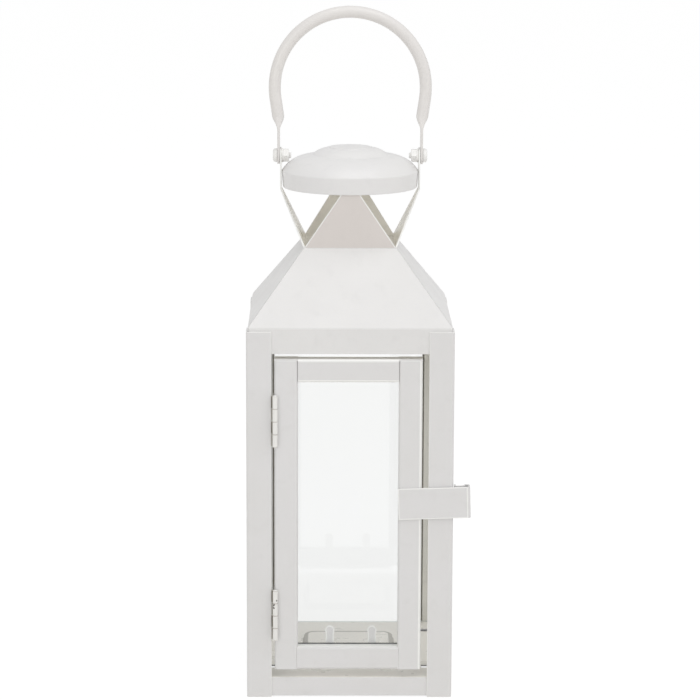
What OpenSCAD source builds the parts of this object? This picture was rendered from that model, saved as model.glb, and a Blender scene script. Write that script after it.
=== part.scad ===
// Candle lantern folded from sheet steel: four angle posts on a flat tray, a pyramid hood with
// cut petals under a spun cap, a glazed door on two butt hinges and a swinging bail.
// Millimetres, +Z up. The door faces -Y. The origin lies on the ground under the middle.

/* [Body] */
// Width and depth over the corner posts
body_w = 100; // [92:1:112]
// Height of the corner posts
post_h = 181.7; // [165:0.1:205]
// Width of each leg of the angle posts
post_leg = 12.1; // [11:0.1:13.5]
// Thickness of the sheet steel
sheet_t = 0.8; // [0.6:0.1:0.9]
// Mid-line radius of the folds
fold_r = 0.9; // [0.6:0.1:1.1]

/* [Tray] */
// Height of the tray's flat top above the ground
tray_h = 10.1; // [8:0.1:14]
// How far the tray's skirt stays off the ground
skirt_lift = 0.6; // [0.2:0.1:2]
// Width of the raised candle seat
seat_w = 45; // [30:1:60]
// Height of the candle seat above the tray
seat_h = 2.5; // [1.5:0.1:4]
// Corner radius of the candle seat
seat_r = 6; // [3:0.5:12]

/* [Hood] */
// Height of the hood's vertical skirt
hood_skirt_h = 12.5; // [8:0.1:16]
// How far the eaves stand above the post tops
eaves_lift = 1.7; // [0.5:0.1:4]
// Rise of the sloping roof
roof_rise = 34.9; // [28:0.1:45]
// Width of the square opening at the top of the roof
throat_w = 44.3; // [38:0.1:50]
// Rise from the top of the roof to the rim of the cap
petal_rise = 26.9; // [20:0.1:34]
// Width of a petal where it reaches the cap
petal_tip_w = 10.4; // [7:0.1:13]
// Width of the upright strip of an ear
ear_w = 8; // [7:0.1:9]

/* [Cap] */
// Largest radius of the spun cap
cap_r = 33.4; // [30:0.1:36]
// Height of the cap's rim
rim_h = 8; // [4:0.1:9]
// How far the rim draws in at its lower edge
rim_draw = 0.6; // [0.4:0.1:1.6]
// Radius of the round shoulder in section
shoulder_r = 15.5; // [13:0.1:17]
// How far the shoulder leans in where it leaves the rim, in degrees
shoulder_lean = 31; // [24:1:34]
// Radius of the raised crown
crown_r = 18.5; // [14:0.1:20]
// Radius of the flat button on the crown
button_r = 10.4; // [7:0.1:12]
// Height of the crown above the shoulder
crown_h = 3.3; // [2:0.1:4.5]

/* [Bail] */
// Diameter of the bail's rod
rod_d = 5.9; // [4:0.1:7]
// How far the bail's legs lean inwards
leg_lean = 8.2; // [5:0.1:9]
// Length of each straight leg
leg_len = 10.4; // [6:0.1:14]
// Length over which the rod is pinched flat
pinch_len = 5; // [4:0.1:8]
// Length of the flat above the pivot
flat_len = 12.6; // [9:0.1:18]
// Thickness of the flattened ends
flat_t = 1.3; // [0.8:0.1:1.6]
// Radius of the pivot bolt's shank
bolt_r = 1.5; // [1.2:0.05:1.8]
// Radius of the pivot bolt's head
bolt_head_r = 3.4; // [2.5:0.1:3.6]
// Height of the pivot bolt's head
bolt_head_h = 2.1; // [1.5:0.1:3]
// Width of the nut across its flats
nut_w = 6; // [5.4:0.1:6.4]
// Length of the nut with its flange
nut_len = 3.6; // [3:0.1:4.5]

/* [Door] */
// Gap on the hinge side between post and door
hinge_gap = 1.5; // [1.4:0.1:2.2]
// Gap on the latch side between door and post
latch_gap = 3.2; // [1.5:0.1:4]
// Gap under the door
sill_gap = 4.2; // [1.5:0.1:6]
// Gap over the door
head_gap = 2.4; // [1:0.1:4]
// Face width of the door's stiles and rails
stile_w = 11.3; // [9:0.1:14]
// Depth of the door's frame
door_depth = 8; // [7:0.1:10]
// Depth of the lips that the pane rests against
lip_depth = 5; // [3.5:0.1:5.5]

/* [Glass] */
// Thickness of the panes
glass_t = 2; // [1.5:0.1:2.2]
// How far a pane reaches behind what holds it
glass_lap = 3.5; // [2:0.1:4.5]
// Height of the bent tongues
tongue_h = 9.8; // [6:0.1:12]
// Diameter of a tongue's round head
tongue_head = 4.6; // [4:0.1:6]
// Distance between the two tongues of the door
tongue_gap = 20.6; // [12:0.1:30]
// How far the door's tongues sit off its middle, towards the latch
tongue_shift = 1.6; // [-4:0.1:4]
// Distance from the middle of a fixed side to each of its tongues and clips
tongue_x = 31.4; // [20:0.1:32]

/* [Hinges] */
// Length of each butt hinge
hinge_h = 25; // [18:0.5:32]
// Radius of the hinge knuckles
knuckle_r = 1.25; // [1.2:0.05:1.4]
// Radius of the hinge pins
pin_r = 0.65; // [0.5:0.05:0.65]
// Thickness of the hinge leaves
leaf_t = 0.5; // [0.4:0.05:0.5]
// Distance from the door's lower end to the lower hinge
lower_inset = 15.2; // [12:0.1:24]
// Distance from the door's upper end to the upper hinge
upper_inset = 17.6; // [12:0.1:24]

/* [Latch] */
// Height of the latch strap
strap_h = 15.4; // [10:0.1:20]
// Height above the ground of the strap's middle where it joins the door
strap_z = 97.4; // [80:0.1:120]
// How far the strap climbs towards the post, in degrees
strap_tilt = 1.7; // [0:0.1:4]
// How far the strap passes the side of the body
strap_reach = 8.3; // [7.8:0.1:12]

/* [Hidden] */

// Colours
paint = [0.87, 0.865, 0.855];
clear = [0.85, 0.93, 0.92, 0.35];

// Clearances
fit = 0.05; // between parts that seat on each other
part_gap = 0.3; // between parts that move past each other
run_gap = 0.05; // radial, pins and bolts in their bores
knuckle_gap = 0.1; // between the ends of neighbouring knuckles
nut_gap = 0.3; // between nut and cap

// Body
half = body_w / 2;
inner_half = half - sheet_t; // tray and hood fit inside the posts
fold_out = fold_r + sheet_t / 2; // outer radius of a fold
over = 1; // how far cutting bodies run past what they cut
lap = 0.02; // how far joined stretches of one piece run into each other

// Hood
eaves_z = post_h + eaves_lift;
hood_z = eaves_z - hood_skirt_h;
throat_z = eaves_z + roof_rise;
throat_half = throat_w / 2;

// Cap: the shoulder's arc starts at the rim's upper edge and runs into a shallow cone
rim_z = throat_z + petal_rise;
rim_top_z = rim_z + rim_h;
rim_r = cap_r - rim_draw;
cone_slope = 8; // degrees
shoulder_x = cap_r - shoulder_r * cos(shoulder_lean);
shoulder_z = rim_top_z - shoulder_r * sin(shoulder_lean);
cone_x = shoulder_x + shoulder_r * sin(cone_slope);
crown_z = shoulder_z + shoulder_r * cos(cone_slope) + (cone_x - crown_r) * tan(cone_slope);
crown_top_z = crown_z + crown_h;
crown_bend = (pow(crown_r - button_r, 2) + pow(crown_h, 2)) / (2 * crown_h);
button_h = 0.5;

// Petals inside the rim, ears outside it
petal_tip_half = petal_tip_w / 2;
petal_in = sqrt(pow(rim_r - sheet_t - fit, 2) - pow(petal_tip_half, 2));
petal_tuck = 4.5; // how far a petal reaches up inside the rim
ear_x = cap_r + fit; // inner face of an ear beside the cap
petal_fold_drop = 0.7; // the folds lie just below the rim

// Pivot
nut_in_x = ear_x - nut_len;
nut_corner_r = nut_w / 2 / cos(30);
nut_seat_z = shoulder_z + sqrt(pow(shoulder_r, 2) - pow(nut_in_x - shoulder_x, 2));
pivot_z = nut_seat_z + nut_w / 2 + nut_gap;
bolt_end = 1; // how far the bolt comes out of the nut
flat_x = ear_x + sheet_t + fit; // inner face of a flattened end
flat_mid_x = flat_x + flat_t / 2;
flat_w = 8.5; // width of a flattened end
pinch_slice = 0.1; // depth by which the pinch runs into the rod and the flat
leg_tenon = 0.2; // how far a leg runs up into the arc
bolt_bore_r = bolt_r + run_gap;

// Bail
bail_r = (flat_mid_x + leg_len * sin(leg_lean)) / cos(leg_lean);
flat_top_z = pivot_z + flat_len;
leg_foot_z = flat_top_z + pinch_len;
bail_z = leg_foot_z + leg_len * cos(leg_lean) + bail_r * sin(leg_lean);

// Door
frame_half = half - post_leg; // inner edges of the posts
door_x0 = -frame_half + hinge_gap;
door_x1 = frame_half - latch_gap;
door_z0 = tray_h + sill_gap;
door_z1 = hood_z - head_gap;
door_y = -half - part_gap; // front face of the door
view_x0 = door_x0 + stile_w;
view_x1 = door_x1 - stile_w;
view_z0 = door_z0 + stile_w;
view_z1 = door_z1 - stile_w;
stile_len = door_z1 - sheet_t - door_z0; // the top rail's web lies on the stiles' ends
flange_lap = 2.5; // how far the top rail's back flange reaches down behind the pane

// Hinge axis, in front of the gap between post and door
axis_inset = 0.35; // how far the axis lies inside the door's hinge edge
axis_x = door_x0 + axis_inset;
axis_y = door_y - knuckle_r - part_gap;
bore_r = pin_r + run_gap;
knuckles = 4;
pin_head_r = 1.05;
pin_head_h = 0.35;
lower_hinge_z = door_z0 + lower_inset;
upper_hinge_z = door_z1 - upper_inset - hinge_h;
leaf_len = 7; // how far a leaf reaches along what it is welded to
leaf_bend = leaf_t / 2; // mid-line radius where a leaf turns behind the post
plate_y = door_y; // front edge of both leaves' plates, behind the knuckles

// Panes
pane_out = inner_half - sheet_t - fit; // outer face, behind the hood's skirt
pane_in = pane_out - glass_t;
corner_gap = 1; // between the neighbouring panes at a corner, measured along either
pane_half = pane_in - corner_gap / 2;
skirt_lap = 5.1; // how far a fixed pane reaches up behind the hood's skirt
pane_top_z = hood_z + skirt_lap;
tongue_step = 0.6; // by how much a tongue's neck is narrower than its head
tongue_neck = tongue_head - tongue_step;
clip_w = 7;
clip_rise = 4; // how far a clip runs up the skirt above the pane
clip_drop = 3; // how far a clip reaches below the skirt on the pane's inner face

// Latch hook, folded back three times beside the post
hook_turn = 5.2; // how far the first turn runs back along the post
hook_back = 2.9; // how far forward the spring leaf starts
hook_step = 2.2; // between the first turn and the second
hook_tip = 1; // how far the tip runs past the first turn

// --- Shared shapes ---

function unit(v) = v / norm(v);
function turn(a, b) = atan2(a.x * b.y - a.y * b.x, a * b);

// One rounded fold at p, between the directions in and out
module fold(p, in, out, t, r) {
    trim = r * tan(abs(turn(in, out)) / 2);
    centre = p + unit(out - in) * sqrt(r * r + trim * trim);
    reach = 3;
    intersection() {
        translate(centre) difference() {
            circle(r + t / 2);
            circle(r - t / 2);
        }
        polygon([
            centre,
            centre + reach * (p - trim * in - centre),
            centre + reach * (p - centre),
            centre + reach * (p + trim * out - centre),
        ]);
    }
}

// Section of a strip of sheet folded along the mid line given by path
module folded(path, t = sheet_t, r = fold_r) {
    last = len(path) - 1;
    dirs = [for (i = [0 : last - 1]) unit(path[i + 1] - path[i])];
    trims = [
        for (i = [0 : last])
            i == 0 || i == last ? 0 : r * tan(abs(turn(dirs[i - 1], dirs[i])) / 2)
    ];
    for (i = [0 : last - 1]) {
        from = max(0, trims[i] - lap);
        to = norm(path[i + 1] - path[i]) - max(0, trims[i + 1] - lap);
        translate(path[i])
            rotate(atan2(dirs[i].y, dirs[i].x))
                translate([from, -t / 2])
                    square([to - from, t]);
    }
    for (i = [1 : 1 : last - 1])
        fold(path[i], dirs[i - 1], dirs[i], t, r);
}

// Stands a section drawn in X and Z along Y, centred, with the given length
module along_y(length) {
    translate([0, length / 2, 0])
        rotate([90, 0, 0])
            linear_extrude(length)
                children();
}

// Lays a section drawn in Y and Z along X, from x = 0 to the given length
module along_x(length) {
    rotate([90, 0, 90])
        linear_extrude(length)
            children();
}

module both_sides() {
    children();
    mirror([1, 0, 0]) children();
}

// Round-headed tongue, drawn flat from its root upwards
module tongue_outline() {
    head_r = tongue_head / 2;
    translate([-tongue_neck / 2, 0]) square([tongue_neck, tongue_h - head_r]);
    translate([0, tongue_h - head_r]) circle(head_r, $fn = 48);
}

// --- Base and posts ---

// Channel with its web on top, as wide as the tray
module tray_channel() {
    mid = inner_half - sheet_t / 2;
    web_z = tray_h - sheet_t / 2;
    along_y(2 * (inner_half - fold_out))
        folded([[-mid, skirt_lift], [-mid, web_z], [mid, web_z], [mid, skirt_lift]]);
}

// Upright square block with round corners
module rounded_block(w, h, r) {
    linear_extrude(h) {
        square([w - 2 * r, w], center = true);
        square([w, w - 2 * r], center = true);
        for (x = [-1, 1], y = [-1, 1])
            translate([x * (w / 2 - r), y * (w / 2 - r)])
                circle(r, $fn = 48);
    }
}

// The three fixed sides: left, back and right, turned from the right-hand one
fixed_sides = [0, 90, 180];

// Pair of tongues on the right-hand side of the tray, behind the pane
module tray_tongues() {
    for (y = [-tongue_x, tongue_x])
        translate([pane_in - fit - sheet_t, y, tray_h - sheet_t])
            along_x(sheet_t)
                tongue_outline();
}

// Slots left in the tray where the tongues were cut and bent up
module tongue_slots() {
    for (y = [-tongue_x, tongue_x])
        translate([pane_in - fit - sheet_t - tongue_h, y - tongue_head / 2, tray_h - sheet_t - over])
            cube([tongue_h, tongue_head, sheet_t + 2 * over]);
}

module base_tray() {
    color(paint) {
        difference() {
            union() {
                tray_channel();
                rotate(90) tray_channel();
                translate([0, 0, tray_h]) rounded_block(seat_w, seat_h, seat_r);
            }
            translate([0, 0, tray_h - sheet_t - over])
                rounded_block(seat_w - 2 * sheet_t, seat_h + over, seat_r - sheet_t);
            for (a = fixed_sides) rotate(a) tongue_slots();
        }
        for (a = fixed_sides) rotate(a) tray_tongues();
    }
}

// Angle post at the corner where X and Y are both positive
module angle_post() {
    mid = half - sheet_t / 2;
    color(paint)
        linear_extrude(post_h)
            folded([[half - post_leg, mid], [mid, mid], [mid, half - post_leg]]);
}

module post_back_right() { angle_post(); }
module post_back_left() { rotate(90) angle_post(); }
module post_front_left() { rotate(180) angle_post(); }
module post_front_right() { rotate(270) angle_post(); }

// --- Hood and cap ---

// One side of the hood, facing +X: the section runs along the side and is cut to the mitres
// below the throat and to the petal's outline above it
module hood_side(path) {
    intersection() {
        along_y(body_w) folded(path);
        union() {
            linear_extrude(throat_z)
                polygon([[-lap, 0], [body_w, -body_w - lap], [body_w, body_w + lap]]);
            along_x(body_w) children();
        }
    }
}

// Mid line of the skirt and the slope that every side shares
slope = atan2(roof_rise, inner_half - throat_half);
skirt_mid = inner_half - sheet_t / 2;
function hood_line() = [
    [skirt_mid, hood_z],
    [skirt_mid, eaves_z - sheet_t / 2 * tan(slope / 2)],
    [throat_half - sheet_t / 2 / sin(slope) + sheet_t / 2, throat_z - sheet_t / 2],
];

// Petal: leans out to the rim, then stands up inside it
petal_mid = petal_in - sheet_t / 2;
petal_line = concat(hood_line(), [
    [petal_mid, rim_z - petal_fold_drop],
    [petal_mid, rim_z + petal_tuck],
]);

// Ear: leans out to the rim and stands up beside the cap
ear_top_z = pivot_z + ear_w / 2;
ear_line = concat(hood_line(), [
    [ear_x + sheet_t / 2, rim_z - petal_fold_drop],
    [ear_x + sheet_t / 2, ear_top_z + over],
]);

module petal_outline() {
    fold_z = rim_z - petal_fold_drop;
    polygon([
        [-throat_half, throat_z - sheet_t],
        [throat_half, throat_z - sheet_t],
        [throat_half, throat_z],
        [petal_tip_half, fold_z],
        [petal_tip_half, rim_z + petal_tuck],
        [-petal_tip_half, rim_z + petal_tuck],
        [-petal_tip_half, fold_z],
        [-throat_half, throat_z],
    ]);
}

module ear_outline() {
    fold_z = rim_z - petal_fold_drop;
    polygon([
        [-throat_half, throat_z - sheet_t],
        [throat_half, throat_z - sheet_t],
        [throat_half, throat_z],
        [ear_w / 2, fold_z],
        [ear_w / 2, pivot_z],
        [-ear_w / 2, pivot_z],
        [-ear_w / 2, fold_z],
        [-throat_half, throat_z],
    ]);
    translate([0, pivot_z]) circle(ear_w / 2, $fn = 64);
}

module roof_hood() {
    color(paint)
        difference() {
            intersection() {
                union() {
                    for (a = [90, 270]) rotate(a) hood_side(petal_line) petal_outline();
                    for (a = [0, 180]) rotate(a) hood_side(ear_line) ear_outline();
                }
                rounded_block(2 * inner_half, ear_top_z + over, fold_out);
            }
            translate([-half, 0, pivot_z])
                rotate([0, 90, 0])
                    cylinder(r = bolt_bore_r, h = body_w, $fn = 48);
        }
}

// Filled section of the cap, drawn in by the sheet's thickness for its inside
module cap_section(inset) {
    foot_z = rim_z - (inset > 0 ? over : 0);
    foot_r = rim_r - inset - (rim_z - foot_z) * rim_draw / rim_h;
    bend_r = shoulder_r - inset;
    bend_x = shoulder_x + sqrt(pow(bend_r, 2) - pow(rim_top_z - shoulder_z, 2));
    cone_foot = [shoulder_x + bend_r * sin(cone_slope), shoulder_z + bend_r * cos(cone_slope)];
    cone_top_z = crown_z - inset / cos(cone_slope);
    polygon([
        [0, foot_z],
        [foot_r, foot_z],
        [bend_x, rim_top_z],
        [shoulder_x, rim_top_z + over],
        [0, rim_top_z + over],
    ]);
    intersection() {
        translate([shoulder_x, shoulder_z]) circle(bend_r, $fn = 180);
        translate([cone_foot.x, rim_top_z]) square([cap_r - cone_foot.x, shoulder_r]);
    }
    polygon([
        [0, rim_top_z],
        [cone_foot.x + lap, rim_top_z],
        cone_foot,
        [crown_r, cone_top_z],
        [0, cone_top_z],
    ]);
    crown_section(inset);
}

// Crown: a low round step with a flat button on it
module crown_section(inset) {
    low = crown_z - inset - over;
    intersection() {
        translate([button_r, crown_top_z - crown_bend]) circle(crown_bend - inset, $fn = 180);
        translate([button_r - lap, low]) square([crown_r - button_r, crown_top_z - low]);
    }
    translate([0, low]) square([button_r, crown_top_z - inset - low]);
    translate([0, low]) square([button_r - inset, crown_top_z + button_h - inset - low]);
}

module cap() {
    color(paint)
        rotate_extrude($fn = 180)
            difference() {
                cap_section(0);
                cap_section(sheet_t);
            }
}

// --- Bail and its pivots ---

// Flattened end on the right: a strip with a round end and a bolt hole
module bail_flat() {
    flat_r = flat_w / 2;
    difference() {
        translate([flat_x, 0, 0])
            along_x(flat_t) {
                translate([-flat_r, pivot_z]) square([flat_w, flat_len - pinch_slice / 2]);
                translate([0, pivot_z]) circle(flat_r, $fn = 64);
            }
        translate([0, 0, pivot_z])
            rotate([0, 90, 0])
                cylinder(r = bolt_bore_r, h = body_w, $fn = 48);
    }
}

// Straight leg on the right, from the pinch up into the arc
module bail_leg() {
    translate([flat_mid_x, 0, leg_foot_z])
        rotate([0, leg_lean, 0])
            translate([0, 0, pinch_slice / 2])
                cylinder(d = rod_d - 2 * lap, h = leg_len + leg_tenon, $fn = 48);
}

// Pinch on the right, from the round rod down to the flat
module bail_pinch() {
    hull() {
        translate([flat_mid_x, 0, leg_foot_z])
            rotate([0, leg_lean, 0])
                cylinder(d = rod_d, h = pinch_slice, $fn = 32);
        translate([flat_x, -flat_w / 2, flat_top_z - pinch_slice])
            cube([flat_t, flat_w, pinch_slice]);
    }
}

module carry_handle() {
    sweep = 180 + 2 * leg_lean;
    color(paint) {
        translate([0, 0, bail_z])
            rotate([90, 0, 0])
                rotate(-leg_lean)
                    rotate_extrude(angle = sweep, $fn = 120)
                        translate([bail_r, 0])
                            circle(d = rod_d, $fn = 48);
        both_sides() {
            bail_leg();
            bail_pinch();
            bail_flat();
        }
    }
}

// Pan-head bolt on the right, through the flat and the ear
module pivot_bolt() {
    head_x = flat_x + flat_t + fit;
    edge = 0.6;
    crown = bolt_head_h - edge;
    shank = head_x - nut_in_x + bolt_end;
    color(paint)
        translate([head_x, 0, pivot_z])
            rotate([0, 90, 0]) {
                cylinder(r = bolt_head_r, h = edge, $fn = 48);
                translate([0, 0, edge])
                    rotate_extrude($fn = 48)
                        difference() {
                            square([bolt_head_r, crown]);
                            translate([bolt_head_r, crown]) circle(crown, $fn = 48);
                        }
                translate([0, 0, -shank]) cylinder(r = bolt_r, h = shank + edge, $fn = 48);
            }
}

// Flanged hexagon nut inside the ear on the right, a flat of it facing down
module pivot_nut() {
    flange_h = 0.9;
    color(paint)
        translate([nut_in_x, 0, pivot_z])
            rotate([0, 90, 0])
                difference() {
                    union() {
                        rotate(30) cylinder(r = nut_corner_r, h = nut_len - flange_h + lap, $fn = 6);
                        translate([0, 0, nut_len - flange_h])
                            cylinder(r = nut_corner_r + fit, h = flange_h - fit, $fn = 48);
                    }
                    translate([0, 0, -over])
                        cylinder(r = bolt_r + fit, h = nut_len + 2 * over, $fn = 48);
                }
}

module pivot_bolt_right() { pivot_bolt(); }
module pivot_bolt_left() { mirror([1, 0, 0]) pivot_bolt(); }
module pivot_nut_right() { pivot_nut(); }
module pivot_nut_left() { mirror([1, 0, 0]) pivot_nut(); }

// --- Door ---

// Section of a stile: face, outer return and inner lip, outer edge at x = 0
module stile_section() {
    mid = sheet_t / 2;
    folded([[mid, door_depth], [mid, mid], [stile_w - mid, mid], [stile_w - mid, lip_depth]]);
}

module door_hinge_stile() {
    color(paint)
        translate([door_x0, door_y, door_z0])
            linear_extrude(stile_len)
                stile_section();
}

module door_latch_stile() {
    color(paint)
        translate([door_x1, door_y, door_z0])
            linear_extrude(stile_len)
                mirror([1, 0]) stile_section();
}

// Top rail: the back flange turns down behind the pane, the web runs on over both stiles
module door_top_rail() {
    mid = sheet_t / 2;
    flange_z = stile_w - mid;
    drop = glass_lap - flange_lap;
    color(paint) {
        translate([view_x0, door_y, view_z1])
            along_x(view_x1 - view_x0)
                folded([
                    [lip_depth, mid],
                    [mid, mid],
                    [mid, flange_z],
                    [door_depth - mid, flange_z],
                    [door_depth - mid, drop],
                ]);
        for (x = [door_x0, view_x1 - lap])
            translate([x, door_y, door_z1 - sheet_t])
                cube([stile_w + lap, door_depth, sheet_t]);
    }
}

// Bottom rail: the pane stands on its sill, between the stiles' lips and the tongues
module door_bottom_rail() {
    mid = sheet_t / 2;
    sill_z = stile_w - mid;
    pane_back = lip_depth + fit + glass_t;
    mid_x = (view_x0 + view_x1) / 2 + tongue_shift;
    color(paint) {
        translate([view_x0, door_y, door_z0])
            along_x(view_x1 - view_x0)
                folded([
                    [door_depth, mid],
                    [mid, mid],
                    [mid, sill_z],
                    [pane_back + sheet_t, sill_z],
                ]);
        for (x = [-tongue_gap / 2, tongue_gap / 2])
            translate([mid_x + x, door_y + pane_back + fit + sheet_t, view_z0 - sheet_t])
                rotate([90, 0, 0])
                    linear_extrude(sheet_t)
                        tongue_outline();
    }
}

module door_glass() {
    x0 = view_x0 - glass_lap;
    x1 = view_x1 + glass_lap;
    z0 = view_z0 + fit;
    z1 = view_z1 + glass_lap;
    color(clear)
        translate([x0, door_y + lip_depth + fit, z0])
            cube([x1 - x0, glass_t, z1 - z0]);
}

// Latch strap: lies on the door, passes the post and folds back into a sprung hook
module latch_strap() {
    t = sheet_t;
    mid_y = door_y - t / 2;
    end_x = half + strap_reach - t / 2;
    hook_x = end_x - hook_step;
    tip_x = half + part_gap + t;
    hook_y = mid_y + hook_turn;
    spring_y = mid_y + hook_back;
    color(paint)
        translate([view_x1, 0, strap_z])
            rotate([0, -strap_tilt, 0])
                translate([-view_x1, 0, -strap_h / 2])
                    linear_extrude(strap_h)
                        folded([
                            [view_x1, mid_y],
                            [end_x, mid_y],
                            [end_x, hook_y],
                            [hook_x, hook_y],
                            [hook_x, spring_y],
                            [tip_x, spring_y],
                            [tip_x, hook_y + hook_tip],
                        ], t = t, r = fold_r);
}

// --- Hinges ---

// Rolled knuckles of one leaf, every second one from the given first, with the necks that run
// from the back of the barrel to the leaf
module knuckle_row(first, leaf_x) {
    pitch = hinge_h / knuckles;
    neck_y = axis_y + knuckle_r - leaf_t / 2;
    for (i = [first : 2 : knuckles - 1])
        translate([0, 0, i * pitch + knuckle_gap / 2])
            linear_extrude(pitch - knuckle_gap) {
                translate([axis_x, axis_y]) circle(knuckle_r, $fn = 48);
                folded([
                    [axis_x, neck_y],
                    [leaf_x, neck_y],
                    [leaf_x, plate_y + lap],
                ], t = leaf_t, r = leaf_t);
            }
}

module pin_bore() {
    translate([axis_x, axis_y, -over])
        cylinder(r = bore_r, h = hinge_h + 2 * over, $fn = 48);
}

// Leaf on the post: passes the edge of the post's front leg and turns behind it
module post_leaf() {
    leaf_x = -frame_half + leaf_t / 2;
    back_y = -half + sheet_t + leaf_t / 2;
    color(paint)
        difference() {
            union() {
                knuckle_row(1, leaf_x);
                linear_extrude(hinge_h)
                    folded([
                        [leaf_x, plate_y],
                        [leaf_x, back_y],
                        [leaf_x - leaf_len, back_y],
                    ], t = leaf_t, r = leaf_bend);
            }
            pin_bore();
        }
}

// Leaf on the door: runs back along the stile's outer return
module door_leaf() {
    leaf_x = door_x0 - leaf_t / 2;
    color(paint)
        difference() {
            union() {
                knuckle_row(0, leaf_x);
                linear_extrude(hinge_h)
                    folded([[leaf_x, plate_y], [leaf_x, plate_y + leaf_len]], t = leaf_t);
            }
            pin_bore();
        }
}

// Pin with peened ends
module hinge_pin() {
    color(paint)
        translate([axis_x, axis_y, 0]) {
            cylinder(r = pin_r, h = hinge_h, $fn = 48);
            translate([0, 0, -pin_head_h]) cylinder(r = pin_head_r, h = pin_head_h, $fn = 48);
            translate([0, 0, hinge_h]) cylinder(r = pin_head_r, h = pin_head_h, $fn = 48);
        }
}

module upper_post_leaf() { translate([0, 0, upper_hinge_z]) post_leaf(); }
module upper_door_leaf() { translate([0, 0, upper_hinge_z]) door_leaf(); }
module upper_hinge_pin() { translate([0, 0, upper_hinge_z]) hinge_pin(); }
module lower_post_leaf() { translate([0, 0, lower_hinge_z]) post_leaf(); }
module lower_door_leaf() { translate([0, 0, lower_hinge_z]) door_leaf(); }
module lower_hinge_pin() { translate([0, 0, lower_hinge_z]) hinge_pin(); }

// --- Fixed panes and their clips ---

// Pane of the right-hand side, standing on the tray
module side_pane() {
    color(clear)
        translate([pane_in, -pane_half, tray_h])
            cube([glass_t, 2 * pane_half, pane_top_z - tray_h]);
}

// Pair of clips on the right-hand side: welded to the skirt, hooked over the pane
module side_clips() {
    mid = sheet_t / 2;
    weld_x = inner_half - sheet_t - mid;
    hook_x = pane_in - fit - mid;
    over_z = pane_top_z + fit + mid;
    color(paint)
        for (y = [-tongue_x, tongue_x])
            translate([0, y, 0])
                along_y(clip_w)
                    folded([
                        [weld_x, over_z + clip_rise],
                        [weld_x, over_z],
                        [hook_x, over_z],
                        [hook_x, hood_z - clip_drop],
                    ], t = sheet_t, r = mid + fit);
}

module right_glass() { side_pane(); }
module back_glass() { rotate(90) side_pane(); }
module left_glass() { rotate(180) side_pane(); }
module right_glass_clips() { side_clips(); }
module back_glass_clips() { rotate(90) side_clips(); }
module left_glass_clips() { rotate(180) side_clips(); }

base_tray();
post_front_left();
post_front_right();
post_back_left();
post_back_right();
roof_hood();
cap();
carry_handle();
pivot_bolt_left();
pivot_bolt_right();
pivot_nut_left();
pivot_nut_right();
door_hinge_stile();
door_latch_stile();
door_top_rail();
door_bottom_rail();
door_glass();
latch_strap();
upper_post_leaf();
upper_door_leaf();
upper_hinge_pin();
lower_post_leaf();
lower_door_leaf();
lower_hinge_pin();
left_glass();
right_glass();
back_glass();
left_glass_clips();
right_glass_clips();
back_glass_clips();
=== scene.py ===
"""Square sheet-metal candle lantern with a glazed door, a spun cap and a swinging handle."""

import logging
from collections.abc import Iterable
from dataclasses import dataclass
from enum import Enum
from functools import reduce
from math import atan2, copysign, cos, inf, pi, radians, sin, sqrt, tau

import bmesh
import bpy
from bmesh import ops
from mathutils import Matrix, Vector

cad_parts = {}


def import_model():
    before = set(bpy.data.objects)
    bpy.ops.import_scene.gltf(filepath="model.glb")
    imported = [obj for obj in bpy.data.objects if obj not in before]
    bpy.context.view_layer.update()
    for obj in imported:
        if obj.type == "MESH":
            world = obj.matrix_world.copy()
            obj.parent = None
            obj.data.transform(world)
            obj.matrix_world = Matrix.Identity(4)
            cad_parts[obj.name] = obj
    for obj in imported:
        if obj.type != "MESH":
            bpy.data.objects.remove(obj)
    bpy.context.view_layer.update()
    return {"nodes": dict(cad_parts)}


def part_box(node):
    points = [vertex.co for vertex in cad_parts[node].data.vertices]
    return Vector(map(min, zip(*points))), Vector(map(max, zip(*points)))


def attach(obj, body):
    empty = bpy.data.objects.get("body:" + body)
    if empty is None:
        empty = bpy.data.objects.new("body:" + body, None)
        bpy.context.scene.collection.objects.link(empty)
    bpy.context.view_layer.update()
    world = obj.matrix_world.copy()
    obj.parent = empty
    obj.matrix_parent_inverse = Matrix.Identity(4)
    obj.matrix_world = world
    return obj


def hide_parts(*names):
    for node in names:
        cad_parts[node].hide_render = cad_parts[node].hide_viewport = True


MM = 0.001
log = logging.getLogger("lantern")

Colour = tuple[float, ...]
Point = tuple[float, float, float]
Socket = bpy.types.NodeSocket
Shape = bmesh.types.BMesh
Face = bmesh.types.BMFace
Edge = bmesh.types.BMEdge
Vert = bmesh.types.BMVert


class Slot(Enum):
    """Names of the material slots."""

    SHEET = "painted_sheet"
    HARDWARE = "painted_hardware"
    GLASS = "clear_glass"


class Body(Enum):
    """Bodies that the joints move."""

    HOUSING = "housing"
    DOOR = "door"
    HANDLE = "handle"


# --- Finishes ---


def srgb(*levels: int) -> Colour:
    """Turns a colour written from 0 to 255 into linear light.

    Args:
        *levels: Red, green and blue.

    Returns:
        The three linear values from 0 to 1, and 1 for solid.
    """
    shares = [level / 255 for level in levels]
    light = (
        share / 12.92 if share <= 0.04045 else ((share + 0.055) / 1.055) ** 2.4 for share in shares
    )
    return (*light, 1.0)


def dimmed(colour: Colour, share: float) -> Colour:
    """Keeps a share of a colour's light."""
    return (*(share * part for part in colour[:3]), 1.0)


@dataclass(frozen=True)
class Pattern:
    """A noise pattern: cells per metre, octaves, and the levels of it that show."""

    scale: float
    detail: float
    low: float = 0.0
    high: float = 1.0
    most: float = 1.0


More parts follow.
